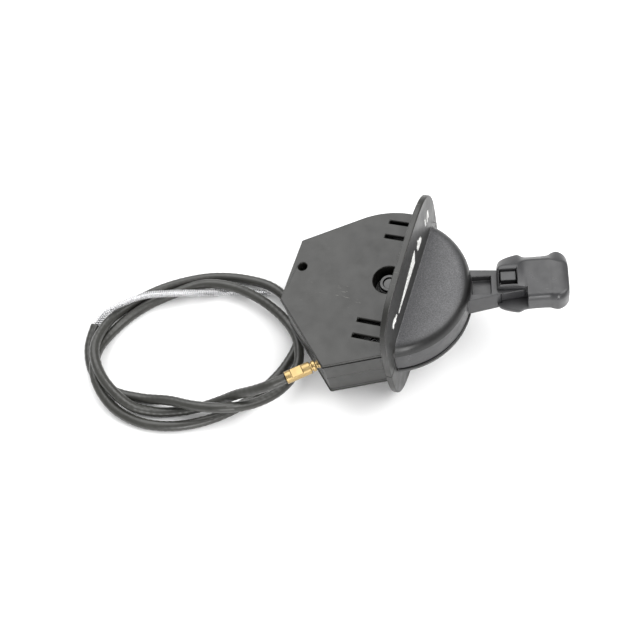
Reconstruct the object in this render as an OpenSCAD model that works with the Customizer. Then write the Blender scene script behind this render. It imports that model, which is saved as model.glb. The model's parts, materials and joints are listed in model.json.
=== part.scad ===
// Panel-mounted lever throttle control with its cable.
// Mechanism frame used inside the modules: x along the lever and out through the bezel,
// y along the bezel, z across the casing, origin on the lever's pivot axis in the mid-plane.
// place() puts that frame where the control lies, tilted, on its table with +Z up.

/* [Casing] */
// Thickness of the casing over both shells
case_t = 26.7; // [26:0.1:28]
// Wall thickness of the shells
wall = 2; // [1.6:0.1:2.2]
// Radius of the round side of the casing, about the pivot
case_r = 38.8; // [38.8:0.1:39.4]
// Distance from the pivot back to the rear wall
rear_x = 48.3; // [47:0.1:50]
// Height of the rear wall's top corner above the pivot
rear_top = 13.6; // [12:0.1:15]
// Depth of the rear wall's lower corner below the pivot
rear_low = 20.6; // [19:0.1:22]
// Distance of the heel corner behind the pivot
heel_x = 17.6; // [17:0.1:19]
// Depth of the heel corner below the pivot
heel_y = 51.1; // [50:0.1:52]
// Depth of the lower wall below the pivot where it meets the bezel
toe_y = 39; // [39:0.1:40]
// Radius of the round recess over the pivot
recess_r = 7.5; // [7:0.1:8]
// Depth of that recess
recess_depth = 8.5; // [8:0.1:8.6]
// Radius of the mounting hole in the rear of the casing
mount_hole_r = 2.2; // [2:0.1:2.5]

/* [Bezel] */
// Distance from the pivot to the outer face of the bezel
bezel_x = 12.2; // [12:0.1:12.6]
// Thickness of the bezel plate
bezel_t = 3; // [2.8:0.1:3.2]
// Half of the bezel's length
bezel_a = 43; // [42:0.1:44]
// Half of the bezel's width
bezel_b = 38.5; // [37:0.1:40]
// Sideways offset of the bezel's centre from the mid-plane
bezel_shift = 4.2; // [3:0.1:5]
// Squareness of the bezel's rounded outline
bezel_power = 3.8; // [3:0.1:5]

/* [Dome] */
// Radius of the dome's outer rim
dome_r = 38.7; // [38.6:0.1:38.8]
// Rounding between the dome's rim and its flat sides
dome_round = 6.5; // [6:0.1:6.6]
// Half of the width of the slot that the lever swings in
slot_half = 6.4; // [6.3:0.1:6.5]

/* [Lever] */
// Angle of the lever above the bezel's normal at rest
lever_angle = 15; // [0:1:20]
// Half of the thickness of the lever's rim and arm
rotor_half = 6; // [5.6:0.1:6]
// Outer radius of the curved rim that closes the slot
rim_r = 38; // [37.8:0.1:38.1]
// Width of the arm where it leaves the rim
arm_root_w = 17.4; // [16:0.1:18]
// Width of the arm where it meets the knob
arm_tip_w = 13.4; // [12:0.1:14]
// Radius at which the knob begins
knob_start = 50.5; // [50:0.1:51]
// Radius at which the knob ends
knob_end = 84; // [82:0.5:86]
// Half of the knob's width at its waist
knob_waist = 11; // [10:0.1:11.4]
// Half of the knob's width at its two ridges
knob_ridge = 12.7; // [12:0.1:13]
// Offset of the knob from the arm's centre line
knob_rise = 2.6; // [0:0.1:3]

/* [Cable] */
// Outer diameter of the cable's jacket
jacket_d = 5; // [4.8:0.1:5.2]
// Outer diameter of the wound steel liner
liner_d = 4; // [3.8:0.1:4.2]
// Diameter of the core wire
wire_d = 1.5; // [1.2:0.1:1.6]
// Direction in which the cable leaves the casing
cable_angle = 219; // [217:0.5:220]

/* [Hidden] */
$fn = 64;
eps = 0.02;

// Pose of the mechanism frame over the table
tilt = 10;
origin_x = -15.5;
origin_y = 4.5;
pivot_z = (bezel_b - bezel_shift) * cos(tilt) - (bezel_x - bezel_t) * sin(tilt);

half_t = case_t / 2;
inner_z = half_t - wall;
bezel_back = bezel_x - bezel_t;
inner_r = 37.6;
track_r = rim_r + 0.45;
track_wall = 1.3;
dome_flat_r = dome_r - dome_round;
dome_arc_z = half_t - dome_round;

// Pivot stack
boss_r = 9;
boss_face = half_t - recess_depth - 1.5;
bolt_r = 2.95;
bush_r = 4;
washer_r = 8.4;
hub_half = 2.1;
hub_r = 10;

// Where the cable leaves the wall, and the drum that its line is tangent to
exit_x = -21.25;
exit_y = -47.5;
drum_r = abs(exit_x * sin(cable_angle) - exit_y * cos(cable_angle));
drum_z = 7.5;
tangent_angle = cable_angle + 90;
nipple_angle = 23;
mouth_s = 17;

// Fastener places
mount_hole = [-43.6, -0.9];
screw_spots = [[-42.8, 11.4], [-43.3, -15.6], [-6, -42.2]];
screw_boss_r = 2.9;
screw_r = 1.3;

// Snap tongues: slot pairs that run into the bezel
tongue_slots = [24, 32.4];
slot_start = -8.5;
slot_w = 1.9;

plastic = [0.23, 0.23, 0.22];
gloss_black = [0.12, 0.12, 0.12];
steel = [0.7, 0.7, 0.72];
brass = [0.83, 0.66, 0.33];

// Free run of the jacket over the table, from the ferrule's mouth to its cut end
jacket_route = [[-57.5, -58.3, 30.8], [-65, -61, 25.3], [-73.5, -62.3, 17.5], [-81, -64.5, 10.2],
    [-89.5, -68.5, 5.5], [-100.5, -73.5, 3.2], [-112.5, -77.5, 3.2], [-125, -78.5, 6.5],
    [-140, -71.5, 12], [-150, -58.5, 12.5], [-152, -42.5, 7.3], [-147.3, -27.5, 2.9],
    [-136, -14, 2.7], [-123, -4, 2.7], [-109, 3, 2.7], [-93, 6, 3.5], [-77, 4, 6],
    [-63, -4.5, 5.2], [-56.5, -18, 2.7], [-58, -34, 2.7], [-64.5, -49.5, 2.7], [-74, -63, 2.7],
    [-87, -74.5, 2.7], [-102, -82, 2.7], [-118, -84.5, 2.7], [-133.5, -81, 5],
    [-145.5, -70.5, 8.3], [-150.5, -56, 6], [-147.5, -40, 2.7], [-139.5, -26, 2.7],
    [-128, -14.5, 3.5], [-113, -4.5, 6], [-97, -2.5, 8], [-81, -5, 7.2], [-66.5, -11.5, 6.5],
    [-56, -22, 8.7], [-51.5, -36, 8.2], [-55.5, -50.5, 9.5], [-65, -62.5, 13],
    [-77.5, -70, 15.9], [-92, -72.2, 13.2], [-106, -71.5, 8.2], [-121, -72.5, 3],
    [-136, -73, 2.7], [-148.5, -67, 2.7], [-156.3, -55, 2.8], [-157.7, -42.5, 4.8]];
liner_route = [[-154.2, -35.1, 8.4], [-146.8, -28, 9.6], [-138.5, -21.6, 9.9],
    [-127, -16.3, 9.2], [-115, -11, 7], [-104.5, -5.6, 3.6], [-96, -1.7, 2.2]];
liner_tip = [-80.5, 2, 2.1];

// ---- helpers -------------------------------------------------------------------------

function unit(v) = v / norm(v);

// Crossing of the line through p along d with the line through q along e
function meet(p, d, q, e) = p + d * cross(q - p, e) / cross(d, e);

function left_normal(d) = [-d[1], d[0]] / norm(d);

// A counter-clockwise convex outline moved inwards by t
function inset(pts, t) = let (n = len(pts)) [for (i = [0:n - 1])
    let (a = pts[(i + n - 1) % n], b = pts[i], c = pts[(i + 1) % n])
    meet(b + left_normal(b - a) * t, b - a, b + left_normal(c - b) * t, c - b)];

function superellipse(a, b, n, steps) = [for (i = [0:steps - 1]) let (t = 360 * i / steps)
    [a * sign(cos(t)) * pow(abs(cos(t)), 2 / n), b * sign(sin(t)) * pow(abs(sin(t)), 2 / n)]];

// Mechanism frame to table frame, for points and for solids
function placed(p) = [p[0] * cos(tilt) - p[2] * sin(tilt) + origin_x, p[1] + origin_y,
    p[0] * sin(tilt) + p[2] * cos(tilt) + pivot_z];

module place() translate([origin_x, origin_y, pivot_z]) rotate([0, -tilt, 0]) children();

module lever_frame() place() rotate(lever_angle) children();

// Puts z along the line that the cable leaves by, starting on the wall
module exit_frame() place() translate([exit_x, exit_y, drum_z]) rotate(cable_angle)
    rotate([0, 90, 0]) children();

// Point on the exit line, s outside the wall
function exit_point(s) = [exit_x + s * cos(cable_angle), exit_y + s * sin(cable_angle), drum_z];

module rod(p, q, r) {
    d = q - p;
    translate(p) rotate([0, acos(d[2] / norm(d)), atan2(d[1], d[0])]) cylinder(h = norm(d), r = r);
}

module ring(outer, inner, low, high) translate([0, 0, low]) difference() {
    cylinder(h = high - low, r = outer);
    translate([0, 0, -1]) cylinder(h = high - low + 2, r = inner);
}

// Smooth curve through the route points, sampled in equal steps between each two
function curve_at(p, i, t) = let (n = len(p) - 1, a = p[max(i - 1, 0)], b = p[i],
    c = p[min(i + 1, n)], d = p[min(i + 2, n)])
    (2 * b + (c - a) * t + (2 * a - 5 * b + 4 * c - d) * t * t
        + (3 * b - a - 3 * c + d) * t * t * t) / 2;

function curve(p, skip) = [for (i = [0:len(p) - 2]) for (t = (i % 2 == 0 || i < skip) ? [0, 0.5] : [0])
    curve_at(p, i, t), p[len(p) - 1]];

function tangent(c, i) = unit(c[min(i + 1, len(c) - 1)] - c[max(i - 1, 0)]);

// Frames carried along the curve without twist
function carried(c, i = 0, side = [0, 0, 1], out = []) = i >= len(c) ? out :
    let (t = tangent(c, i), s = unit(side - t * (side * t)))
    carried(c, i + 1, s, concat(out, [[s, cross(t, s)]]));

// Closed round tube along a curve, with flat ends square to it
module tube(c, r, sides) {
    f = carried(c);
    n = len(c);
    points = [for (i = [0:n - 1]) for (k = [0:sides - 1]) let (a = 360 * (k + 0.5) / sides)
        c[i] + r * (cos(a) * f[i][0] + sin(a) * f[i][1])];
    walls = [for (i = [0:n - 2]) for (k = [0:sides - 1])
        let (a = i * sides + k, b = i * sides + (k + 1) % sides)
        each [[a, b + sides, b], [a, a + sides, b + sides]]];
    caps = [[for (k = [0:sides - 1]) k], [for (k = [sides - 1:-1:0]) (n - 1) * sides + k]];
    polyhedron(points = points, faces = concat(walls, caps), convexity = 10);
}

// ---- casing --------------------------------------------------------------------------

arc_front_y = sqrt(case_r * case_r - bezel_back * bezel_back);
rear_corner = [-rear_x, rear_top];
tangent_dir = atan2(rear_top, -rear_x) - acos(case_r / norm(rear_corner));
outline = [[bezel_back, -toe_y], [bezel_back, arc_front_y],
    case_r * [cos(tangent_dir), sin(tangent_dir)], rear_corner, [-rear_x, -rear_low],
    [-heel_x, -heel_y]];
toe_slope = (heel_y - toe_y) / (heel_x + bezel_back);
front_reach = 6;
lip_t = 1.6;
lip_out = 0.35;
reach_outline = concat([[bezel_back + front_reach, -toe_y + toe_slope * front_reach],
    [bezel_back + front_reach, arc_front_y - 2]], [for (i = [2:5]) outline[i]]);
big = 60;

// Part of the round side behind the bezel's back
module round_side(r, low, high) intersection() {
    translate([0, 0, low]) cylinder(h = high - low, r = r);
    translate([-big, -big, low - 1]) cube([big + bezel_back, 2 * big, high - low + 2]);
}

function arc_points(c, r, from, to, steps) = [for (i = [0:steps])
    let (a = from + (to - from) * i / steps) c + r * [cos(a), sin(a)]];

dome_centre = [dome_flat_r, dome_arc_z];

// Half profile of the dome, from the slot's edge to its flat side
module dome_profile() polygon(concat([[0, slot_half], [dome_r, slot_half]],
    arc_points(dome_centre, dome_round, 0, 90, 8), [[0, half_t]]));

module dome_core_profile() polygon(concat([[0, 0], [track_r, 0], [track_r, slot_half],
    [dome_r - wall, slot_half]],
    arc_points(dome_centre, dome_round - wall, 0, 90, 8), [[0, inner_z]]));

module bezel_plate() translate([bezel_back, -0.8, bezel_shift]) rotate([90, 0, 90])
    linear_extrude(bezel_t) polygon(superellipse(bezel_a, bezel_b, bezel_power, 64));

module through_bezel(low) translate([bezel_back - low, -big, 0]) cube([big, 2 * big, big]);

// Closed half casing with its part of the bezel, before the holes
module shell_body(side) {
    difference() {
        union() {
            linear_extrude(half_t) polygon(outline);
            round_side(case_r, 0, half_t);
            // rib over the lever's rim, on the round side only
            intersection() {
                round_side(track_r + track_wall, 0, slot_half + track_wall);
                translate([-big, 0, -1]) cube([2 * big, big, big]);
            }
            // lip round the flat side
            translate([0, 0, half_t - lip_t]) linear_extrude(lip_t) polygon(inset(outline, -lip_out));
            round_side(case_r + lip_out, half_t - lip_t, half_t);
            intersection() {
                rotate_extrude($fn = 128) dome_profile();
                through_bezel(1);
            }
            intersection() {
                mirror([0, 0, side < 0 ? 1 : 0]) bezel_plate();
                through_bezel(1);
            }
        }
        intersection() {
            translate([0, 0, -1]) linear_extrude(inner_z + 1) polygon(inset(reach_outline, wall));
            translate([-big, -big, -2]) cube([big + bezel_back, 2 * big, big]);
        }
        round_side(inner_r, -1, inner_z);
        round_side(track_r, -1, slot_half);
        intersection() {
            translate([0, 0, -eps]) rotate_extrude($fn = 128) dome_core_profile();
            translate([bezel_back - eps, -big, -1]) cube([big, 2 * big, big]);
        }
    }
    translate([0, 0, boss_face]) cylinder(h = inner_z - boss_face + eps, r = boss_r);
    translate([mount_hole[0], mount_hole[1], 0]) cylinder(h = inner_z + eps, r = 4.1);
    for (p = screw_spots) translate([p[0], p[1], 0]) cylinder(h = inner_z + eps, r = screw_boss_r);
}

// One shell on the +z side
module shell_half(side) difference() {
    shell_body(side);
    translate([0, 0, half_t - recess_depth]) cylinder(h = big, r = recess_r);
    translate([0, 0, -1]) cylinder(h = big, r = bolt_r);
    for (y = tongue_slots) for (s = [-1, 1])
        translate([slot_start, s * y - slot_w / 2, inner_z - 1])
            cube([bezel_back - slot_start, slot_w, 10]);
    translate([mount_hole[0], mount_hole[1], -1]) cylinder(h = big, r = mount_hole_r);
    if (side > 0) translate([exit_x, exit_y, drum_z]) rotate(cable_angle) rotate([0, 90, 0])
        translate([0, 0, -5]) cylinder(h = 10, r = 2.15);
    for (p = screw_spots) translate([p[0], p[1], -1]) {
        cylinder(h = side > 0 ? inner_z + 1 : big, r = screw_r);
        if (side < 0) translate([0, 0, half_t - 2]) cylinder(h = 9, r = 2.6);
    }
}

module upper_shell() color(plastic) place() shell_half(1);

module lower_shell() color(plastic) place() mirror([0, 0, 1]) shell_half(-1);

// Three self-tapping screws put in from the far side
module shell_screws() color(steel) place() for (p = screw_spots) translate([p[0], p[1], 0]) {
    translate([0, 0, -half_t + 3]) cylinder(h = half_t + 5, r = screw_r);
    difference() {
        translate([0, 0, -half_t + 1]) cylinder(h = 2, r = 2.5);
        translate([-1.8, -0.35, -half_t + 0.5]) cube([3.6, 0.7, 1.2]);
        translate([-0.35, -1.8, -half_t + 0.5]) cube([0.7, 3.6, 1.2]);
    }
}

// ---- pivot ---------------------------------------------------------------------------

module pivot_bolt() color(steel) place() {
    translate([0, 0, -half_t + recess_depth]) cylinder(h = 2 * (half_t - recess_depth) + 5, r = bolt_r);
    translate([0, 0, -half_t + recess_depth - 4]) cylinder(h = 4, r = 5.77, $fn = 6);
}

module lock_nut() color(steel) place() difference() {
    union() {
        translate([0, 0, half_t - recess_depth]) cylinder(h = 4, r = 5.77, $fn = 6);
        translate([0, 0, half_t - recess_depth + 4]) cylinder(h = 1.8, r = 4.6);
    }
    translate([0, 0, -1]) cylinder(h = 30, r = bolt_r);
}

module pivot_bush() color(brass) place() ring(bush_r, bolt_r, -boss_face, boss_face);

module friction_washer_near() color("saddlebrown") place()
    ring(washer_r, bush_r, hub_half + 0.1, hub_half + 0.7);

module friction_washer_far() color("saddlebrown") place()
    ring(washer_r, bush_r, -hub_half - 0.7, -hub_half - 0.1);

module flat_washer() color(steel) place() ring(washer_r, bush_r, hub_half + 0.7, boss_face);

module wave_washer() color(steel) place() ring(washer_r - 0.8, bush_r, -boss_face, -hub_half - 0.7);

// ---- legend --------------------------------------------------------------------------

legend_t = 0.2;
strip_z = 26.5;

// Puts the drawing's x along the bezel and its y across it, on the outer face
module on_strip(y) translate([bezel_x, y, strip_z]) rotate([90, 0, 90])
    linear_extrude(legend_t) children();

module hare_mark() {
    polygon([[-3.4, -1.6], [-2.6, -2.6], [2.2, -2.6], [3.4, -1.8], [2.6, -0.4], [3, 0.8],
        [1.6, 1.5], [-0.6, 2], [-1, 3.6], [-1.8, 3.6], [-1.9, 2], [-3, 1.4], [-3.6, 0.2]]);
    translate([2.9, -1.2]) circle(r = 0.7);
}

module tortoise_mark() {
    intersection() {
        translate([0, -1.4]) circle(r = 3);
        translate([-3, -1.4]) square([6, 4]);
    }
    for (x = [-2, 1.4]) translate([x - 0.5, -2.4]) square([1.1, 1.2]);
    translate([3.3, -0.6]) circle(r = 0.9);
}

module choke_mark() {
    translate([-3, -2.6]) square([1, 5.2]);
    translate([2, -2.6]) square([1, 5.2]);
    translate([-0.4, -2.9]) rotate(-20) square([0.9, 6]);
}

module legend_marks() color("white") place() {
    on_strip(29) choke_mark();
    on_strip(15) hare_mark();
    on_strip(-7.5) polygon([[-14.5, -3.4], [-14.5, -2.6], [15.5, 3.6], [13.5, -3.4]]);
    on_strip(-28.5) tortoise_mark();
}

// ---- lever ---------------------------------------------------------------------------

rim_t = 2;
rim_sweep = 122;
web_half = 1.5;
tongue_half = 4.6;
pocket_depth = 4;

// Circular sector of a given half angle about +x
module sector(r, half_angle) polygon(concat([[0, 0]], [for (i = [-8:8])
    let (a = half_angle * i / 8) 2 * r * [cos(a), sin(a)]]));

module lever_rotor() color(gloss_black) lever_frame() {
    difference() {
        union() {
            translate([0, 0, -web_half]) cylinder(h = 2 * web_half, r = rim_r - rim_t / 2);
            translate([0, 0, -hub_half]) cylinder(h = 2 * hub_half, r = hub_r);
            ring(drum_r - wire_d / 2, drum_r - 3.5, 0, drum_z + 1.6);
            ring(drum_r + 0.9, drum_r - 3, drum_z + 0.85, drum_z + 1.5);
            rotate(nipple_angle - lever_angle) translate([drum_r, 0, 0])
                cylinder(h = drum_z + 1.2, r = 4);
            // curved rim that closes the slot
            intersection() {
                ring(rim_r, rim_r - rim_t, -rotor_half, rotor_half);
                translate([0, 0, -rotor_half]) linear_extrude(2 * rotor_half) sector(rim_r, rim_sweep);
            }
            // arm
            translate([0, 0, -rotor_half]) linear_extrude(2 * rotor_half)
                polygon([[rim_r - rim_t, -arm_root_w / 2 - 1], [rim_r, -arm_root_w / 2 - 1],
                    [knob_start + 2, -arm_tip_w / 2], [knob_start + 2, arm_tip_w / 2],
                    [rim_r, arm_root_w / 2 - 1], [rim_r - rim_t, arm_root_w / 2 - 1]]);
            translate([knob_start, -tongue_half, -3.5]) cube([22, 2 * tongue_half, 7]);
            // snap tab in the knob's window, and the rib beside the knob's open corner
            translate([knob_start + 1.8, -0.6, 0]) cube([7.4, 5.2, 8]);
            translate([0, 0, -0.5]) linear_extrude(rotor_half + 0.5)
                polygon([[knob_start, -arm_tip_w / 2], [knob_start + 4, -arm_tip_w / 2 + 0.3],
                    [knob_start + 13, -tongue_half - 0.5], [knob_start + 13, -tongue_half + 0.2],
                    [knob_start, -tongue_half + 0.2]]);
        }
        translate([0, 0, -20]) cylinder(h = 40, r = bush_r + 0.05);
        translate([rim_r + 0.8, -6, rotor_half - pocket_depth]) cube([9, 9.6, 10]);
        rotate(nipple_angle - lever_angle) translate([drum_r, 0, drum_z - 2.3]) cylinder(h = 9, r = 2.6);
        rotate(nipple_angle - lever_angle - 16) translate([0, 0, drum_z - 0.85])
            rotate_extrude(angle = 16) translate([drum_r - 1.3, 0]) square([2.3, 5]);
        translate([knob_start + 16, 0, -20]) cylinder(h = 40, r = 1.2);
    }
}

// Plan outline of the knob: two ridges, a waist between them and a rounded end
knob_mid = (knob_start + knob_end) / 2;
knob_outline = [[knob_start, -8.2], [knob_start + 2.5, -10.2], [knob_start + 7, -11.6],
    [knob_start + 10, -knob_ridge], [knob_start + 12.2, -knob_waist - 0.4],
    [knob_mid + 2, -knob_waist], [knob_end - 8.2, -knob_waist - 0.3],
    [knob_end - 5.6, -knob_ridge], [knob_end - 3, -11.8], [knob_end - 0.8, -9.4],
    [knob_end, -6], [knob_end, 6], [knob_end - 0.8, 9.4], [knob_end - 3, 11.8],
    [knob_end - 5.6, knob_ridge], [knob_end - 8.2, knob_waist + 0.3],
    [knob_mid + 2, knob_waist], [knob_start + 12.2, knob_waist + 0.4],
    [knob_start + 10, knob_ridge], [knob_start + 7, 11.6], [knob_start + 2.5, 10.2],
    [knob_start, 8.2]];
knob_low = -7.5;
knob_high = 8.5;

// Sizes of the bevels along the knob's edges, with the side and the face that each is on
knob_bevels = [[1, knob_high, 5.6], [-1, knob_high, 2.4], [1, knob_low, 3], [-1, knob_low, 3]];

module lever_knob() color(gloss_black) lever_frame() difference() {
    translate([0, knob_rise, knob_low]) linear_extrude(knob_high - knob_low) polygon(knob_outline);
    for (b = knob_bevels) translate([knob_mid, knob_rise + b[0] * knob_ridge, b[1]])
        rotate([45, 0, 0]) cube([60, b[2], b[2]], center = true);
    for (z = [knob_low, knob_high]) translate([knob_end, 0, z])
        rotate([0, 45, 0]) cube([3.4, 60, 3.4], center = true);
    // socket for the arm's tongue and its end
    translate([knob_start - 1, -tongue_half - 0.1, -3.6]) cube([23.2, 2 * tongue_half + 0.2, 7.2]);
    translate([knob_start - 1, -arm_tip_w / 2 - 0.6, -rotor_half - 0.1])
        cube([3.2, arm_tip_w + 1.2, 2 * rotor_half + 0.2]);
    // window over the snap tab
    translate([knob_start + 1.4, -3.4, 0]) cube([8.2, 8.4, 20]);
    // open corner beside the rib
    translate([knob_start - 1, -20, -1]) cube([15.2, 20 - tongue_half + 0.1, 20]);
    translate([knob_start + 16, 0, -20]) cylinder(h = 20, r = 1.2);
    translate([knob_start + 16, 0, knob_low - 1]) cylinder(h = 3, r = 2.4);
}

module knob_screw() color(steel) lever_frame() translate([knob_start + 16, 0, 0]) {
    translate([0, 0, knob_low + 2]) cylinder(h = 8, r = 1.15);
    difference() {
        translate([0, 0, knob_low + 0.4]) cylinder(h = 1.6, r = 2.2);
        translate([-1.5, -0.3, knob_low - 0.1]) cube([3, 0.6, 1.2]);
        translate([-0.3, -1.5, knob_low - 0.1]) cube([0.6, 3, 1.2]);
    }
}

// ---- cable ---------------------------------------------------------------------------

module cable_nipple() color(brass) place() rotate(nipple_angle)
    translate([drum_r, 0, drum_z - 2.2]) cylinder(h = 4, r = 2.5);

// Last part of the core wire, wrapped in the drum's groove up to the nipple
module drum_wire() color(steel) place() rotate(tangent_angle + 3) translate([0, 0, drum_z])
    rotate_extrude(angle = nipple_angle + 360 - tangent_angle - 11, $fn = 128)
        translate([drum_r + 0.02, 0]) circle(r = wire_d / 2, $fn = 24);

// Core wire from the ferrule to just before the drum
module housing_wire() color(steel) place() rod(exit_point(1), exit_point(-37), wire_d / 2);

// Crimped brass ferrule: inner collar, neck, groove, outer collar and hexagonal crimp
module cable_ferrule() color(brass) exit_frame() difference() {
    union() {
        translate([0, 0, -3.9]) cylinder(h = 1.4, r = 3);
        translate([0, 0, -3.5]) cylinder(h = 4.4, r = 2.1);
        translate([0, 0, 0.5]) cylinder(h = 2, r = 1.7);
        translate([0, 0, 2]) cylinder(h = 1.6, r = 2.7);
        translate([0, 0, 3.2]) cylinder(h = 1.5, r = 2.1);
        translate([0, 0, 4.5]) cylinder(h = mouth_s - 4.5, r = 3.05);
    }
    translate([0, 0, -5]) cylinder(h = 30, r = 0.85);
    for (side = [-1, 1]) translate([side * 2.82 - 1, -5, 8.5]) cube([2, 10, 5.5]);
}

jacket_points = concat([placed(exit_point(mouth_s))], jacket_route);
liner_points = concat([jacket_route[len(jacket_route) - 1]], liner_route, [liner_tip]);
tip_dir = unit(liner_tip - liner_route[len(liner_route) - 1]);

module cable_jacket() color([0.1, 0.1, 0.1]) tube(curve(jacket_points, 20), jacket_d / 2, 8);

module spring_liner() color(steel) tube(curve(liner_points, 20), liner_d / 2, 8);

// Core wire standing proud of the liner's end
module wire_tail() color(steel) rod(liner_tip, liner_tip + 2 * tip_dir, wire_d / 2);

upper_shell();
lower_shell();
shell_screws();
pivot_bolt();
lock_nut();
pivot_bush();
friction_washer_near();
friction_washer_far();
flat_washer();
wave_washer();
legend_marks();
lever_rotor();
lever_knob();
knob_screw();
cable_nipple();
drum_wire();
housing_wire();
cable_ferrule();
cable_jacket();
spring_liner();
wire_tail();
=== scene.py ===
"""Looks for a panel-mounted lever throttle control with its coiled cable."""

import json
import math

import bpy
from mathutils import Matrix, Vector


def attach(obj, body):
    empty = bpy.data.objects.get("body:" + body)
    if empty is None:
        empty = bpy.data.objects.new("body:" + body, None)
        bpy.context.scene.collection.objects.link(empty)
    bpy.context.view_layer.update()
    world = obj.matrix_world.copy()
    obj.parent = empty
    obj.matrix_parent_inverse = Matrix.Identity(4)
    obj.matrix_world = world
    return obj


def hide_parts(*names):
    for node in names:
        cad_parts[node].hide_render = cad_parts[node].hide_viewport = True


MM = 0.001

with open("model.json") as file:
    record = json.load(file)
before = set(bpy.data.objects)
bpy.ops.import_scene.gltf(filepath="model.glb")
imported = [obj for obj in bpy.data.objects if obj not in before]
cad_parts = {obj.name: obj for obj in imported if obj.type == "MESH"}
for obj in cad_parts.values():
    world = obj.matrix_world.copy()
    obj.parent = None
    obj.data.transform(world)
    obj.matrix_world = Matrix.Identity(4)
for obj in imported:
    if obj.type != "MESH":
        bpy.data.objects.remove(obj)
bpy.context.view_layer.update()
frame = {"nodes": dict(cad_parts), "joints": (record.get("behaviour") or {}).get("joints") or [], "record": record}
nodes = frame["nodes"]

# The mechanism's own frame in the row frame: u along the lever, v along the bezel, w across the casing
# Lengths are in metres, unless the name ends in MM or a comment says millimetres
TILT = math.radians(10)
U = Vector((math.cos(TILT), 0, math.sin(TILT)))
V = Vector((0, 1, 0))
W = Vector((-math.sin(TILT), 0, math.cos(TILT)))
HINGE = frame["joints"][0]
PIVOT = Vector(HINGE["pos_m"])
LEVER_ANGLE = math.radians(15)
L_OUT = U * math.cos(LEVER_ANGLE) + V * math.sin(LEVER_ANGLE)
L_SIDE = V * math.cos(LEVER_ANGLE) - U * math.sin(LEVER_ANGLE)
CABLE_ANGLE = math.radians(219)
CABLE_OUT = U * math.cos(CABLE_ANGLE) + V * math.sin(CABLE_ANGLE)
DRUM_Z = 7.5 * MM
WALL_EXIT = PIVOT - U * 21.25 * MM - V * 47.5 * MM + W * DRUM_Z
FERRULE_LENGTH = 17 * MM
MOUTH = WALL_EXIT + CABLE_OUT * FERRULE_LENGTH


# ---- camera ----------------------------------------------------------------------------

CAMERA_PLACE = Vector((0.0266, -0.2377, 0.4824))
CAMERA_FORWARD = Vector((-0.147, 0.435, -0.889))
CAMERA_RIGHT = Vector((0.9545, 0.299, -0.0115))
LENS_MM, SENSOR_MM = 60, 36
NEAREST_M = 0.01


def add_camera():
    """Camera at the viewing angle, with its sideways direction squared to its forward one."""
    data = bpy.data.cameras.new("camera")
    data.lens = LENS_MM
    data.sensor_width = SENSOR_MM
    data.clip_start = NEAREST_M
    camera = bpy.data.objects.new("camera", data)
    bpy.context.scene.collection.objects.link(camera)
    forward = CAMERA_FORWARD.normalized()
    right = (CAMERA_RIGHT - forward * CAMERA_RIGHT.dot(forward)).normalized()
    up = right.cross(forward)
    camera.matrix_world = Matrix((
        (right.x, up.x, -forward.x, CAMERA_PLACE.x),
        (right.y, up.y, -forward.y, CAMERA_PLACE.y),
        (right.z, up.z, -forward.z, CAMERA_PLACE.z),
        (0, 0, 0, 1),
    ))
    bpy.context.scene.camera = camera


add_camera()


# ---- cable route -----------------------------------------------------------------------

JACKET_D = 5 * MM
LINER_D = 4 * MM
CORE_D = 1.5 * MM
# Listed points, the same as in the part's source
JACKET_ROUTE_MM = [
    (-57.5, -58.3, 30.8), (-65, -61, 25.3), (-73.5, -62.3, 17.5), (-81, -64.5, 10.2),
    (-89.5, -68.5, 5.5), (-100.5, -73.5, 3.2), (-112.5, -77.5, 3.2), (-125, -78.5, 6.5),
    (-140, -71.5, 12), (-150, -58.5, 12.5), (-152, -42.5, 7.3), (-147.3, -27.5, 2.9),
    (-136, -14, 2.7), (-123, -4, 2.7), (-109, 3, 2.7), (-93, 6, 3.5), (-77, 4, 6),
    (-63, -4.5, 5.2), (-56.5, -18, 2.7), (-58, -34, 2.7), (-64.5, -49.5, 2.7), (-74, -63, 2.7),
    (-87, -74.5, 2.7), (-102, -82, 2.7), (-118, -84.5, 2.7), (-133.5, -81, 5),
    (-145.5, -70.5, 8.3), (-150.5, -56, 6), (-147.5, -40, 2.7), (-139.5, -26, 2.7),
    (-128, -14.5, 3.5), (-113, -4.5, 6), (-97, -2.5, 8), (-81, -5, 7.2), (-66.5, -11.5, 6.5),
    (-56, -22, 8.7), (-51.5, -36, 8.2), (-55.5, -50.5, 9.5), (-65, -62.5, 13),
    (-77.5, -70, 15.9), (-92, -72.2, 13.2), (-106, -71.5, 8.2), (-121, -72.5, 3),
    (-136, -73, 2.7), (-148.5, -67, 2.7), (-156.3, -55, 2.8), (-157.7, -42.5, 4.8),
]
LINER_ROUTE_MM = [
    (-154.2, -35.1, 8.4), (-146.8, -28, 9.6), (-138.5, -21.6, 9.9), (-127, -16.3, 9.2),
    (-115, -11, 7), (-104.5, -5.6, 3.6), (-96, -1.7, 2.2), (-80.5, 2, 2.1),
]


def smooth_curve(points, steps):
    """Points along a uniform Catmull-Rom curve, steps to each stretch."""
    last = len(points) - 1
    out = []
    for i in range(last):
        a, b = points[max(i - 1, 0)], points[i]
        c, d = points[i + 1], points[min(i + 2, last)]
        for k in range(steps):
            t = k / steps
            out.append((2 * b + (c - a) * t + (2 * a - 5 * b + 4 * c - d) * t * t
                        + (3 * b - a - 3 * c + d) * t ** 3) / 2)
    return out + [points[last]]


def evenly(points, spacing):
    """The same line with points an even distance apart."""
    total = sum((b - a).length for a, b in zip(points, points[1:]))
    count = max(2, round(total / spacing))
    step = total / count
    out = [points[0]]
    walked, target = 0.0, step
    for a, b in zip(points, points[1:]):
        gap = (b - a).length
        while gap > 0 and walked + gap >= target - 1e-9 and len(out) < count:
            out.append(a.lerp(b, (target - walked) / gap))
            target += step
        walked += gap
    return out + [points[-1]]


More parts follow.
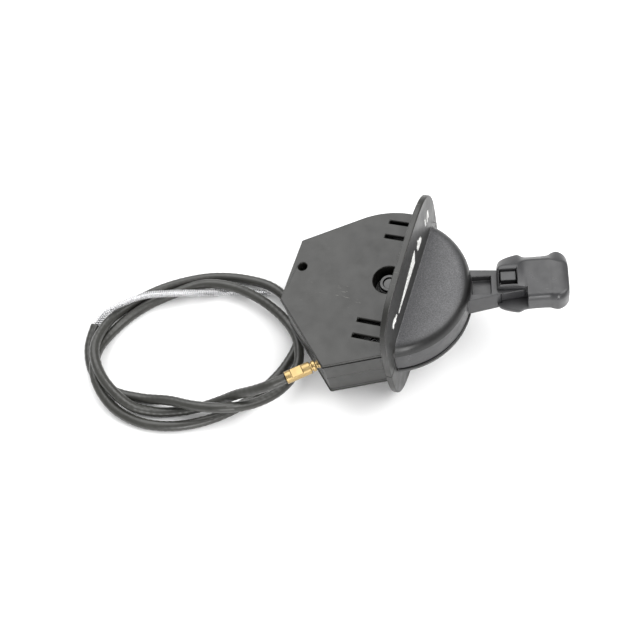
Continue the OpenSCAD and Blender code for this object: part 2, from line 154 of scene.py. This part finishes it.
def carried_frames(points):
    """Two directions square to the line at each point, carried along it without twist."""
    side = Vector((0, 0, 1))
    frames = []
    for i in range(len(points)):
        along = (points[min(i + 1, len(points) - 1)] - points[max(i - 1, 0)]).normalized()
        side = (side - along * side.dot(along)).normalized()
        frames.append((side, along.cross(side)))
    return frames


def add_mesh(name, verts, faces, body, slot):
    """A smooth-shaded piece of the visual model that rides on a body."""
    mesh = bpy.data.meshes.new(name)
    mesh.from_pydata([tuple(v) for v in verts], [], faces)
    mesh.update()
    for polygon in mesh.polygons:
        polygon.use_smooth = True
    piece = bpy.data.objects.new(name, mesh)
    bpy.context.scene.collection.objects.link(piece)
    mesh.materials.append(MATERIALS[slot])
    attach(piece, body)
    return piece


def tube_faces(rings, sides):
    """Side faces between rings of points, and a cap at each end."""
    faces = []
    for i in range(rings - 1):
        for k in range(sides):
            a, b = i * sides + k, i * sides + (k + 1) % sides
            faces.append((a, b, b + sides, a + sides))
    faces.append(tuple(range(sides))[::-1])
    faces.append(tuple((rings - 1) * sides + k for k in range(sides)))
    return faces


def tube(points, radius, sides):
    """Vertices and faces of a round tube; radius is a function of place along and angle round."""
    frames = carried_frames(points)
    verts, walked = [], 0.0
    for i, (p, (s, t)) in enumerate(zip(points, frames)):
        if i:
            walked += (p - points[i - 1]).length
        for k in range(sides):
            a = 2 * math.pi * k / sides
            verts.append(p + (s * math.cos(a) + t * math.sin(a)) * radius(walked, a))
    return verts, tube_faces(len(points), sides)


# ---- materials -------------------------------------------------------------------------

class Shader:
    """A procedural surface on object coordinates, built up node by node."""

    def __init__(self, name, roughness, metallic=0.0):
        self.material = bpy.data.materials.new(name)
        self.material.use_nodes = True
        self.tree = self.material.node_tree
        self.surface = self.tree.nodes["Principled BSDF"]
        self.surface.inputs["Metallic"].default_value = metallic
        self.surface.inputs["Roughness"].default_value = roughness
        self.coords = self.tree.nodes.new("ShaderNodeTexCoord").outputs["Object"]
        self.normal = None

    def link(self, a, b):
        self.tree.links.new(a, b)

    def noise(self, scale, detail=2.0, stretch=(1, 1, 1), turn=(0, 0, 0)):
        mapping = self.tree.nodes.new("ShaderNodeMapping")
        mapping.inputs["Scale"].default_value = stretch
        mapping.inputs["Rotation"].default_value = turn
        self.link(self.coords, mapping.inputs["Vector"])
        noise = self.tree.nodes.new("ShaderNodeTexNoise")
        noise.inputs["Scale"].default_value = scale
        noise.inputs["Detail"].default_value = detail
        self.link(mapping.outputs["Vector"], noise.inputs["Vector"])
        return noise.outputs["Fac"]

    def ramp(self, value, low, high, to_low=0.0, to_high=1.0):
        node = self.tree.nodes.new("ShaderNodeMapRange")
        node.inputs["From Min"].default_value = low
        node.inputs["From Max"].default_value = high
        node.inputs["To Min"].default_value = to_low
        node.inputs["To Max"].default_value = to_high
        self.link(value, node.inputs["Value"])
        return node.outputs["Result"]

    def maths(self, operation, a, b):
        node = self.tree.nodes.new("ShaderNodeMath")
        node.operation = operation
        for socket, value in zip(node.inputs, (a, b)):
            if isinstance(value, (int, float)):
                socket.default_value = value
            else:
                self.link(value, socket)
        return node.outputs["Value"]

    def beyond(self, direction, distance, softness):
        """0 before a plane across the object's coordinates and 1 past it."""
        node = self.tree.nodes.new("ShaderNodeVectorMath")
        node.operation = "DOT_PRODUCT"
        node.inputs[1].default_value = direction
        self.link(self.coords, node.inputs[0])
        return self.ramp(node.outputs["Value"], distance - softness, distance + softness)

    def mix(self, factor, a, b):
        node = self.tree.nodes.new("ShaderNodeMix")
        node.data_type = "RGBA"
        self.link(factor, node.inputs["Factor"])
        for socket, value in zip((node.inputs[6], node.inputs[7]), (a, b)):
            if isinstance(value, tuple):
                socket.default_value = (*value, 1)
            else:
                self.link(value, socket)
        return node.outputs[2]

    def colour(self, value):
        self.link(value, self.surface.inputs["Base Color"])

    def roughness(self, value):
        self.link(value, self.surface.inputs["Roughness"])

    def bump(self, height, strength, distance):
        node = self.tree.nodes.new("ShaderNodeBump")
        node.inputs["Distance"].default_value = distance
        if isinstance(strength, (int, float)):
            node.inputs["Strength"].default_value = strength
        else:
            self.link(strength, node.inputs["Strength"])
        self.link(height, node.inputs["Height"])
        if self.normal is not None:
            self.link(self.normal, node.inputs["Normal"])
        self.normal = node.outputs["Normal"]
        self.link(self.normal, self.surface.inputs["Normal"])


def scratches(shader, turn, scale=40, fineness=40, low=0.70, high=0.74):
    """Sparse thin marks along one direction, in a few places."""
    lines = shader.noise(scale, 1.0, (1, fineness, fineness), (turn * 0.3, turn * 0.7, turn))
    places = shader.noise(scale * 0.7, 1.0)
    return shader.maths("MULTIPLY", shader.ramp(lines, low, high),
                        shader.ramp(places, 0.56, 0.66))


DOME_START = 12.4 * MM
DOME_FACE = 12.6 * MM


def shell_plastic():
    """Moulded black plastic, satin on the casing and grained on the dome's two flat faces, which are painted much
    lighter as a painted sheen; the rest of the dome is painted darker as painted shade.
    """
    s = Shader("shell_plastic", 0.4)
    dome = s.beyond(U, PIVOT.dot(U) + DOME_START, 0.3 * MM)
    near_face = s.beyond(W, PIVOT.dot(W) + DOME_FACE, 0.9 * MM)
    far_face = s.beyond(-W, DOME_FACE - PIVOT.dot(W), 0.9 * MM)
    grain_and_sheen_faces = s.maths("MULTIPLY", dome, s.maths("MAXIMUM", near_face, far_face))
    clouds = s.noise(45, 4)
    flat_colour = s.mix(s.ramp(clouds, 0.35, 0.65), (0.010, 0.010, 0.0085), (0.015, 0.015, 0.013))
    # Painted sheen: the grained faces get a colour several times lighter than the casing's same plastic, standing
    # in for light on the grain; the fine speckle is the grain itself
    grain_and_painted_sheen_colour = s.mix(s.ramp(s.noise(2200, 2), 0.4, 0.65), (0.060, 0.060, 0.063),
                         (0.115, 0.115, 0.120))
    # Painted shade: the rest of the dome, its rounding and sides, is painted darker (0.003) than the casing's same
    # plastic
    base = s.mix(grain_and_sheen_faces, s.mix(dome, flat_colour, (0.003, 0.003, 0.003)), grain_and_painted_sheen_colour)
    marks = s.maths("MAXIMUM", scratches(s, 0.9), scratches(s, 2.3, 30, 60))
    s.colour(s.mix(s.maths("MULTIPLY", marks, 0.35), base, (0.22, 0.21, 0.19)))
    smudges = s.ramp(s.noise(160, 3), 0.3, 0.7, 0.30, 0.44)
    s.roughness(s.maths("ADD", smudges, s.maths("MULTIPLY", grain_and_sheen_faces, 0.12)))
    s.bump(s.noise(1500, 3), s.maths("ADD", s.maths("MULTIPLY", grain_and_sheen_faces, 0.5), 0.10), 0.12 * MM)
    s.bump(s.noise(60, 2), 0.25, 0.25 * MM)
    return s.material


def lever_plastic():
    """Harder, darker moulding of the lever, with handling wear."""
    s = Shader("lever_plastic", 0.36)
    wear = s.noise(55, 4)
    base = s.mix(s.ramp(wear, 0.35, 0.7), (0.024, 0.024, 0.025), (0.034, 0.034, 0.036))
    marks = s.maths("MAXIMUM", scratches(s, 0.2, 60), scratches(s, 1.3, 45))
    s.colour(s.mix(s.maths("MULTIPLY", marks, 0.3), base, (0.2, 0.2, 0.19)))
    s.roughness(s.ramp(s.noise(210, 3), 0.3, 0.7, 0.26, 0.42))
    s.bump(s.noise(1900, 2), 0.22, 0.10 * MM)
    s.bump(s.noise(80, 2), 0.3, 0.25 * MM)
    return s.material


def jacket_plastic():
    """Extruded black jacket, slightly mottled."""
    s = Shader("cable_jacket", 0.4)
    s.colour(s.mix(s.ramp(s.noise(120, 3), 0.3, 0.7), (0.026, 0.026, 0.023), (0.036, 0.036, 0.032)))
    s.roughness(s.ramp(s.noise(300, 3), 0.3, 0.7, 0.28, 0.42))
    s.bump(s.noise(1300, 2), 0.2, 0.08 * MM)
    return s.material


def metal(name, low, high, roughness, scratch_colour):
    """A metal with stains between two tones and thin bright scratches."""
    s = Shader(name, roughness, 1.0)
    stained = s.ramp(s.noise(70, 3), 0.3, 0.75)
    base = s.mix(stained, low, high)
    s.colour(s.mix(s.maths("MULTIPLY", scratches(s, 0.9, 60), 0.4), base, scratch_colour))
    s.roughness(s.ramp(s.noise(300, 3), 0.3, 0.7, roughness - 0.05, roughness + 0.1))
    s.bump(s.noise(900, 2), 0.12, 0.05 * MM)
    return s.material


def fibre():
    """Brown fibre washer, streaked."""
    s = Shader("fibre", 0.8)
    s.colour(s.mix(s.noise(1200, 3, (1, 1, 4)), (0.12, 0.06, 0.03), (0.22, 0.12, 0.06)))
    s.bump(s.noise(2400, 3), 0.4, 0.1 * MM)
    return s.material


def legend_ink():
    """White pad print, thin and slightly worn."""
    s = Shader("legend_white", 0.55)
    s.colour(s.mix(s.ramp(s.noise(900, 4), 0.38, 0.5), (0.42, 0.42, 0.40), (0.82, 0.82, 0.80)))
    s.bump(s.noise(2500, 2), 0.15, 0.05 * MM)
    return s.material


MATERIALS = {
    "shell_plastic": shell_plastic(),
    "lever_plastic": lever_plastic(),
    "zinc_steel": metal("zinc_steel", (0.60, 0.60, 0.61), (0.78, 0.78, 0.79), 0.26, (0.9, 0.9, 0.9)),
    "black_steel": metal("black_steel", (0.05, 0.05, 0.05), (0.09, 0.09, 0.09), 0.35, (0.3, 0.3, 0.3)),
    "brass": metal("brass", (0.33, 0.235, 0.105), (0.43, 0.315, 0.15), 0.32, (0.6, 0.48, 0.28)),
    "fibre": fibre(),
    "legend_white": legend_ink(),
    "cable_jacket": jacket_plastic(),
}
SLOT_OF = {s["node"]: s["material_slot"] for s in frame["record"]["subparts"]}


# ---- CAD nodes: materials and softened edges ---------------------------------------------

EDGE_WIDTH = {
    "upper_shell": 0.6, "lower_shell": 0.6, "lever_rotor": 0.45, "shell_screws": 0.15,
    "pivot_bolt": 0.3, "lock_nut": 0.35, "cable_ferrule": 0.25, "knob_screw": 0.12,
    "cable_nipple": 0.25, "pivot_bush": 0.1, "flat_washer": 0.1, "wave_washer": 0.1,
}


WELD_GAP = 0.002 * MM
# At half a degree, the dissolve left faces across round openings
FLAT_ENOUGH = math.radians(0.03)
BEVEL_ABOVE, SPLIT_ABOVE, PLAIN_SPLIT_ABOVE = (math.radians(a) for a in (32, 36, 31))


def soften(node, width):
    """Welds the node's faces, then rounds its sharp edges."""
    node.modifiers.new("weld", "WELD").merge_threshold = WELD_GAP
    planar = node.modifiers.new("planar", "DECIMATE")
    planar.decimate_type = "DISSOLVE"
    planar.angle_limit = FLAT_ENOUGH
    bevel = node.modifiers.new("bevel", "BEVEL")
    bevel.width = width
    bevel.segments = 3
    bevel.limit_method = "ANGLE"
    bevel.angle_limit = BEVEL_ABOVE
    bevel.use_clamp_overlap = False
    node.modifiers.new("split", "EDGE_SPLIT").split_angle = SPLIT_ABOVE
    node.modifiers.new("flat", "WEIGHTED_NORMAL").keep_sharp = True


for name, node in nodes.items():
    node.data.materials.clear()
    node.data.materials.append(MATERIALS[SLOT_OF[name]])
    if "custom_normal" in node.data.attributes:
        node.data.attributes.remove(node.data.attributes["custom_normal"])
    for polygon in node.data.polygons:
        polygon.use_smooth = True
    if name in EDGE_WIDTH:
        soften(node, EDGE_WIDTH[name] * MM)
    else:
        node.modifiers.new("weld", "WELD").merge_threshold = WELD_GAP
        node.modifiers.new("split", "EDGE_SPLIT").split_angle = PLAIN_SPLIT_ABOVE


# ---- knob ------------------------------------------------------------------------------

# Everything about the knob is in millimetres, in the lever's directions, from the pivot
KNOB_START = 50.5
TONGUE_HALF = 4.6
ARM_HALF, ARM_SIDE = 6.1, 7.3
KNOB_FAR = -7.5
SCREW_HOLE_R, SCREW_AT = 2.4, 16
FIT_GAP = 0.1
# Snap window beside the arm: its two edges along the lever, from the knob's start, and across it
WINDOW_ALONG, WINDOW_ACROSS = (1.4, 9.6), (-3.4, 5.0)
# How far the open corner, the tongue's socket and the arm's socket reach into the knob
CORNER_REACH, SOCKET_REACH, ARM_REACH = 14.2, 22.2, 2.2
SOCKET_HALF = 3.6
CORNER_CURVE_R, CORNER_CURVE_STEPS = 1.1, 4
ROWS_PER_STATION = 5
# Stations along the lever: distance from the pivot, lower and upper edge of the near face,
# lower and upper side, and height of the near face, in millimetres from the arm's centre line
KNOB_STATIONS = [
    (50.5, -6.2, 5.0, -7.6, 9.2, 7.4), (51.0, -7.4, 6.0, -8.8, 11.0, 8.5),
    (52.3, -8.6, 6.8, -10.2, 12.6, 9.1), (55.0, -9.6, 7.1, -11.4, 14.0, 9.3),
    (59.8, -10.4, 7.2, -12.6, 15.5, 9.3), (61.6, -10.2, 8.4, -12.2, 15.4, 8.9),
    (63.8, -9.6, 10.0, -11.2, 14.6, 8.2), (69.0, -9.4, 10.3, -10.8, 14.6, 8.1),
    (74.6, -9.4, 10.2, -10.8, 14.9, 8.2), (76.6, -9.8, 9.2, -11.4, 15.8, 8.7),
    (79.0, -10.0, 8.2, -11.8, 16.3, 9.0), (81.6, -8.8, 7.8, -10.6, 15.0, 8.9),
    (83.2, -7.2, 7.2, -8.8, 13.0, 8.4), (83.8, -6.2, 6.4, -7.6, 11.4, 7.6),
    (84.0, -5.0, 5.2, -6.2, 9.6, 6.4),
]


def rounded_corners(corners, radius, steps):
    """A closed outline with every corner rounded off by a curve."""
    out, count = [], len(corners)
    for i, corner in enumerate(corners):
        before, after = corners[i - 1] - corner, corners[(i + 1) % count] - corner
        reach = min(radius, 0.45 * before.length, 0.45 * after.length)
        a, b = corner + before.normalized() * reach, corner + after.normalized() * reach
        for k in range(steps + 1):
            t = k / steps
            out.append(a * (1 - t) ** 2 + corner * 2 * t * (1 - t) + b * t * t)
    return out


def knob_section(u, near_low, near_high, side_low, side_high, top):
    """Section of the knob square to the lever, as points in the lever's directions."""
    corners = [
        (near_high, top), (near_low, top), (side_low, top - 2.2), (side_low + 0.7, -3.6),
        (side_low + 3.8, KNOB_FAR), (side_high - 4.4, KNOB_FAR), (side_high - 0.8, -3.2),
        (side_high, top - 4.0),
    ]
    points = [Vector((v, w)) for v, w in corners]
    outline = rounded_corners(points, CORNER_CURVE_R, CORNER_CURVE_STEPS)
    return [PIVOT + (L_OUT * u + L_SIDE * p.x + W * p.y) * MM for p in outline]


def cutter(name, outline, low, high):
    """A prism across the lever between two heights, to be taken out of the knob."""
    verts = [PIVOT + (L_OUT * u + L_SIDE * v + W * w) * MM for w in (low, high) for u, v in outline]
    mesh = bpy.data.meshes.new(name)
    mesh.from_pydata([tuple(p) for p in verts], [], tube_faces(2, len(outline)))
    prism = bpy.data.objects.new(name, mesh)
    bpy.context.scene.collection.objects.link(prism)
    return prism


def oblong(u_low, v_low, u_high, v_high):
    return [(u_low, v_low), (u_high, v_low), (u_high, v_high), (u_low, v_high)]


def disc(u, v, radius, sides=32):
    turns = [2 * math.pi * k / sides for k in range(sides)]
    return [(u + radius * math.cos(a), v + radius * math.sin(a)) for a in turns]


def add_knob():
    """Moulded knob: wavy rounded body, snap window, open corner and socket."""
    stations = [Vector(s) for s in KNOB_STATIONS]
    rows = smooth_curve(stations, ROWS_PER_STATION)
    verts = [p for row in rows for p in knob_section(*row)]
    sides = len(verts) // len(rows)
    faces = [face[::-1] for face in tube_faces(len(rows), sides)]
    knob = add_mesh("knob_look", verts, faces, "lever", "lever_plastic")
    socket, past, start = TONGUE_HALF + FIT_GAP, 20, KNOB_START - 1
    window = oblong(KNOB_START + WINDOW_ALONG[0], WINDOW_ACROSS[0],
                    KNOB_START + WINDOW_ALONG[1], WINDOW_ACROSS[1])
    corner = oblong(start, -past, KNOB_START + CORNER_REACH, -socket + 0.2)
    tongue = oblong(start, -socket, KNOB_START + SOCKET_REACH, socket)
    arm = oblong(start, -ARM_SIDE, KNOB_START + ARM_REACH, ARM_SIDE)
    screw = disc(KNOB_START + SCREW_AT, 0, SCREW_HOLE_R)
    cuts = [
        cutter("window_cut", window, 0, past),
        cutter("corner_cut", corner, -1, past),
        cutter("socket_cut", tongue, -SOCKET_HALF, SOCKET_HALF),
        cutter("arm_cut", arm, -ARM_HALF, ARM_HALF),
        cutter("screw_cut", screw, KNOB_FAR - 1, KNOB_FAR + 2),
    ]
    for prism in cuts:
        cut = knob.modifiers.new(prism.name, "BOOLEAN")
        cut.operation = "DIFFERENCE"
        cut.solver = "EXACT"
        cut.object = prism
    bevel = knob.modifiers.new("bevel", "BEVEL")
    bevel.width = 0.3 * MM
    bevel.segments = 2
    bevel.limit_method = "ANGLE"
    bevel.angle_limit = math.radians(50)
    bevel.use_clamp_overlap = False
    view = bpy.context.evaluated_depsgraph_get()
    finished = bpy.data.meshes.new_from_object(knob.evaluated_get(view))
    knob.modifiers.clear()
    knob.data = finished
    for prism in cuts:
        bpy.data.objects.remove(prism)
    knob.modifiers.new("split", "EDGE_SPLIT").split_angle = math.radians(40)
    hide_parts("lever_knob")


add_knob()


# ---- cable -----------------------------------------------------------------------------

CURVE_STEPS = 12
JACKET_STEP, CORE_STEP = 0.7 * MM, 2 * MM
JACKET_SIDES, LINER_SIDES, CORE_SIDES = 14, 5, 10
RIB_PITCH, RIB_HEIGHT = 3.2 * MM, 0.045 * MM
LINER_STEP = 0.25 * MM
LINER_WIRE_R = 0.28 * MM
CLOSE_PITCH, OPEN_PITCH, OPEN_LENGTH = 0.92 * MM, 1.3 * MM, 35 * MM
COIL_SAMPLES = 4


def jacket_radius(walked, angle):
    """A faint helical rib, where the wound strip under the jacket shows through."""
    rib = math.cos(2 * math.pi * walked / RIB_PITCH - angle)
    return JACKET_D / 2 + RIB_HEIGHT * rib


def add_jacket():
    """The outer jacket, from the ferrule's mouth round the coil to its cut end."""
    points = [MOUTH] + [Vector(p) * MM for p in JACKET_ROUTE_MM]
    line = evenly(smooth_curve(points, CURVE_STEPS), JACKET_STEP)
    verts, faces = tube(line, jacket_radius, JACKET_SIDES)
    jacket = add_mesh("jacket_look", verts, faces, "housing", "cable_jacket")
    jacket.modifiers.new("split", "EDGE_SPLIT").split_angle = math.radians(50)
    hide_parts("cable_jacket")
    return jacket, line


def add_liner(start):
    """Steel strip wound round the core wire: open next to the jacket, close after it."""
    points = [start] + [Vector(p) * MM for p in LINER_ROUTE_MM]
    line = evenly(smooth_curve(points, CURVE_STEPS), LINER_STEP)
    frames = carried_frames(line)
    turn_r = LINER_D / 2 - LINER_WIRE_R
    angle, coil = 0.0, []
    for i in range(len(line) - 1):
        side, other = frames[i]
        openness = max(0.0, 1 - i * LINER_STEP / OPEN_LENGTH)
        pitch = CLOSE_PITCH + (OPEN_PITCH - CLOSE_PITCH) * openness
        for k in range(COIL_SAMPLES):
            t = k / COIL_SAMPLES
            around = angle + 2 * math.pi * t * LINER_STEP / pitch
            centre = line[i].lerp(line[i + 1], t)
            coil.append(centre + (side * math.cos(around) + other * math.sin(around)) * turn_r)
        angle += 2 * math.pi * LINER_STEP / pitch
    verts, faces = tube(coil, lambda walked, a: LINER_WIRE_R, LINER_SIDES)
    liner = add_mesh("liner_look", verts, faces, "housing", "zinc_steel")
    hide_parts("spring_liner")
    core_line = evenly(line, CORE_STEP)
    verts, faces = tube(core_line, lambda walked, a: CORE_D / 2, CORE_SIDES)
    core = add_mesh("core_wire", verts, faces, "housing", "zinc_steel")
    return liner, core, line


jacket, jacket_line = add_jacket()
liner, core, liner_line = add_liner(jacket_line[-1])


# ---- floor and light -------------------------------------------------------------------

FLOOR_HALF = 3.0
FLOOR_GREY = 0.9
SKY_STRENGTH = 0.55
AIM = (-0.05, -0.02, 0.02)
# Name, place, size and watts of each soft lamp
LAMPS = [
    ("key", (-0.5, 0.42, 0.76), 1.0, 9.5),
    ("front", (0.25, -0.8, 0.3), 0.4, 4),
    ("top", (0.5, 0.1, 1.0), 0.9, 11),
]


def add_floor():
    """Plain pale floor."""
    mesh = bpy.data.meshes.new("floor")
    half = FLOOR_HALF
    mesh.from_pydata([(-half, -half, 0), (half, -half, 0), (half, half, 0), (-half, half, 0)],
                     [], [(0, 1, 2, 3)])
    floor = bpy.data.objects.new("floor", mesh)
    bpy.context.scene.collection.objects.link(floor)
    material = bpy.data.materials.new("floor")
    material.use_nodes = True
    surface = material.node_tree.nodes["Principled BSDF"]
    surface.inputs["Base Color"].default_value = (FLOOR_GREY, FLOOR_GREY, FLOOR_GREY, 1)
    surface.inputs["Roughness"].default_value = 0.7
    mesh.materials.append(material)


def add_lamp(name, place, size, watts):
    """A square soft lamp aimed at the middle of the object."""
    data = bpy.data.lights.new(name, "AREA")
    data.size = size
    data.energy = watts
    lamp = bpy.data.objects.new(name, data)
    bpy.context.scene.collection.objects.link(lamp)
    direction = Vector(AIM) - Vector(place)
    lamp.rotation_euler = direction.to_track_quat("-Z", "Y").to_euler()
    lamp.location = place


def add_world():
    """Plain white all round."""
    world = bpy.data.worlds.new("world")
    bpy.context.scene.world = world
    world.use_nodes = True
    background = world.node_tree.nodes["Background"]
    background.inputs["Color"].default_value = (1.0, 1.0, 1.0, 1)
    background.inputs["Strength"].default_value = SKY_STRENGTH


add_floor()
add_world()
for lamp in LAMPS:
    add_lamp(*lamp)
bpy.context.scene.view_settings.view_transform = "Standard"
